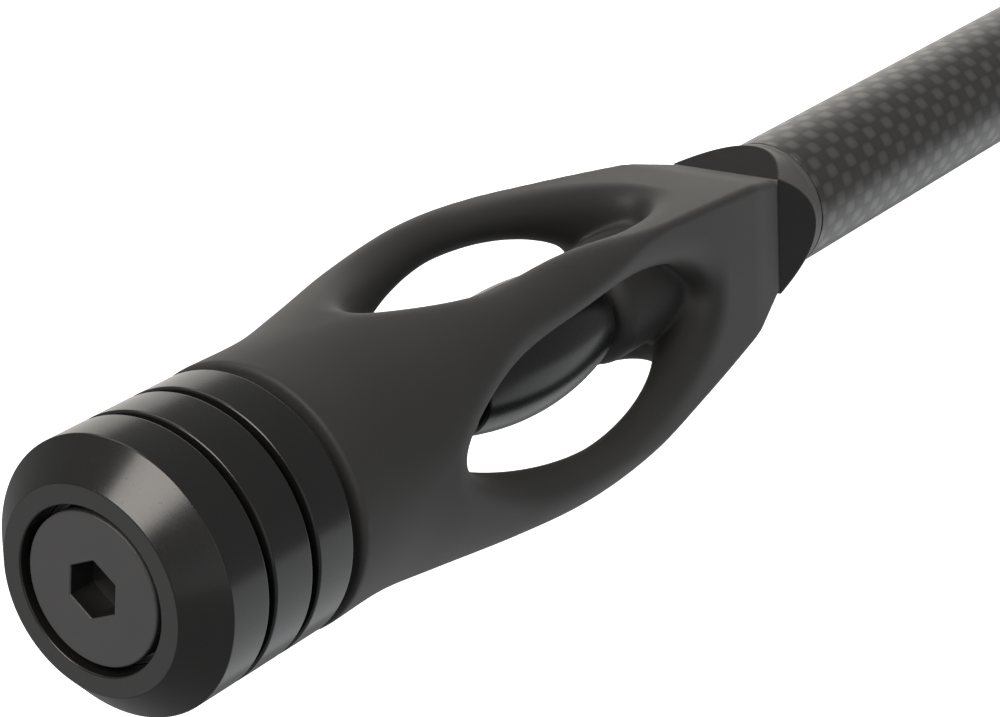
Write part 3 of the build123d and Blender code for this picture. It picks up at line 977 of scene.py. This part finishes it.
# %% Finger grooves
GROOVES, GROOVE_RADIUS, GROOVE_OUT = 10, 0.9 * MM, 0.35 * MM
bow_low, bow_end, bow_radius = span("bow_ferrule")
groove_from, groove_to = bow_low + 3.0 * MM, bow_low + 10.0 * MM
collar_end, neck_start, neck_end = bow_low + 12.0 * MM, bow_low + 12.6 * MM, bow_low + 14.0 * MM
centre = bow_radius + GROOVE_OUT
sweep = (angle % (2 * np.pi / GROOVES)) - np.pi / GROOVES
inside_root = np.maximum(GROOVE_RADIUS ** 2 - (centre * np.sin(sweep)) ** 2, 0)
cut_radius = np.where(inside_root > 0, centre * np.cos(sweep) - np.sqrt(inside_root), bow_radius)
grooved = np.minimum(cut_radius, bow_radius)
cut = grooved - bow_radius
GROOVE_RUNOUT, TURN_EDGE = 0.8 * MM, 0.08 * MM
stack = [(bow_low, SHANK_RADIUS), (bow_low, bow_radius - 0.5 * MM)]
stack += [(bow_low + 0.05 * MM, bow_radius - 0.4 * MM), (bow_low + 0.4 * MM, bow_radius - 0.05 * MM)]
stack += [(bow_low + 0.5 * MM, bow_radius)]
for share in np.linspace(0, 1, 8):
    stack.append((groove_from + share * GROOVE_RUNOUT, bow_radius + cut * math.sqrt(share * (2 - share))))
for share in np.linspace(1, 0, 8):
    stack.append((groove_to - share * GROOVE_RUNOUT, bow_radius + cut * math.sqrt(share * (2 - share))))
stack += [(collar_end - 0.1 * MM, bow_radius), (collar_end, bow_radius - 0.05 * MM)]
stack += [(neck_start, TUBE_RADIUS), (neck_end - TURN_EDGE, TUBE_RADIUS)]
stack += [(neck_end, TUBE_RADIUS - TURN_EDGE), (neck_end, SLEEVE_RADIUS)]
stack += [(bow_end, SLEEVE_RADIUS), (bow_end, SHANK_RADIUS)]
bow_points, bow_faces = skin(*ringed(stack[::-1]))
finish_piece("bow_ferrule_grooved", bow_points, bow_faces, ferrule_grey, "rod", "bow_ferrule")
turned_ring("riser_washer_turned", "riser_washer", 4.15 * MM, 0.3 * MM, black_nylon, "rod")

# %% Threaded stud
PITCH = 25.4 / 24 * MM
THREAD_DEPTH = 0.61 * PITCH
stud_low, stud_high, stud_radius = span("riser_stud")
NECK_FROM, NECK_RADIUS = -0.6 * MM, 3.3 * MM
thread_x = np.linspace(stud_low + 0.35 * MM, NECK_FROM - 0.2 * MM, 150)
turns = (thread_x[:, None] / PITCH - angle[None, :] / (2 * np.pi)) % 1.0
crest = np.clip(np.abs(turns - 0.5) * 2 * 1.25 - 0.12, 0, 1)
fade = np.clip((thread_x - stud_low - 0.2 * MM) / (0.9 * MM), 0, 1)[:, None]
lead_in = NECK_RADIUS + (stud_radius - NECK_RADIUS) * fade
thread_r = np.minimum(stud_radius - THREAD_DEPTH * (1 - crest), lead_in)
rows = [(stud_high, 0.0), (stud_high, SHANK_RADIUS)]
rows += [(bow_low + 0.05 * MM, SHANK_RADIUS), (bow_low, NECK_RADIUS)]
rows += [(NECK_FROM, NECK_RADIUS)] + [(x, ring) for x, ring in zip(thread_x[::-1], thread_r[::-1])]
rows += [(stud_low + 0.1 * MM, 2.9 * MM), (stud_low, 2.6 * MM), (stud_low, 0.0)]
stud_points, stud_faces = skin(*ringed(rows))
finish_piece("riser_stud_threaded", stud_points, stud_faces, zinc, "rod", "riser_stud")
print("thread", round(PITCH * 1000, 3), "mm pitch")

# %% [markdown]
# ## Nodes kept from the mechanical model
#
# The inserts, the pin, the coupling stud and the lock screw are plain turned parts that hardly show. Their
# own meshes are right, so they only take a finish.

# %% Finishes for the kept nodes
kept = {"front_insert": bolt_black, "rear_insert": bare_aluminium, "coupling_stud": zinc,
        "barrel_pin": zinc, "stud_lock_screw": bolt_black}
for node, finish in kept.items():
    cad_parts[node].material_slots[0].material = finish
print("kept nodes:", sorted(kept))
